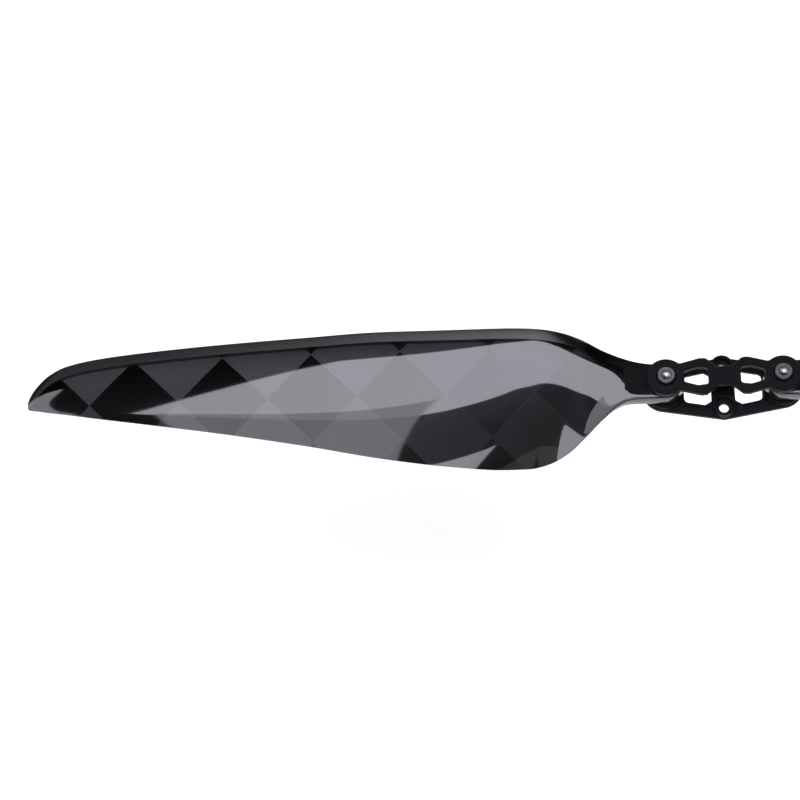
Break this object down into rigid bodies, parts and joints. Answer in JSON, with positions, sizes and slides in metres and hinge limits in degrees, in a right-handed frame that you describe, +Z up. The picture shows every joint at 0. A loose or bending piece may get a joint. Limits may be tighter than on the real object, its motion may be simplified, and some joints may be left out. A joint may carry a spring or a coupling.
{
  "type": "folding drone propeller",
  "caption": "Two-blade folding propeller with broad carbon blades pivoted between an upper and a lower skeleton hub plate.",
  "frame": {"origin": "on the rotation axis, on the underside of the lower hub plate that seats on the motor", "axes": "+Z up the rotation axis, away from the motor; +X along the open blades; the propeller turns clockwise seen from +Z"},
  "size_m": [0.8128, 0.0898, 0.0325],
  "materials": {
    "hub_black": "matte black hard-anodised",
    "screw_steel": "bright machined",
    "bush_brass": "turned",
    "washer_nylon": "matte",
    "root_black": "clear-coated carbon moulding",
    "carbon_gloss": "clear-coated spread-tow carbon in large diamond checks",
    "core_foam": "rigid closed-cell foam"
  },
  "bodies": {
    "hub": {"hub_upper_plate": "hub_black", "hub_lower_plate": "hub_black", "pivot_screw_1": "screw_steel", "pivot_screw_2": "screw_steel", "pivot_nut_1": "screw_steel", "pivot_nut_2": "screw_steel", "pivot_bush_1": "bush_brass", "pivot_bush_2": "bush_brass", "upper_friction_washer_1": "washer_nylon", "upper_friction_washer_2": "washer_nylon", "lower_friction_washer_1": "washer_nylon", "lower_friction_washer_2": "washer_nylon"},
    "blade_1": {"blade_1_root_block": "root_black", "blade_1_upper_skin": "carbon_gloss", "blade_1_lower_skin": "carbon_gloss", "blade_1_foam_core": "core_foam"},
    "blade_2": {"blade_2_root_block": "root_black", "blade_2_upper_skin": "carbon_gloss", "blade_2_lower_skin": "carbon_gloss", "blade_2_foam_core": "core_foam"}
  },
  "joints": [
    {"name": "blade_1_fold", "type": "hinge", "parent": "hub", "child": "blade_1", "pos_m": [-0.034, 0, 0.012], "axis": [0, 0, -1], "range_deg": [-90, 90]},
    {"name": "blade_2_fold", "type": "hinge", "parent": "hub", "child": "blade_2", "pos_m": [0.034, 0, 0.012], "axis": [0, 0, 1], "range_deg": [-90, 90]}
  ]
}
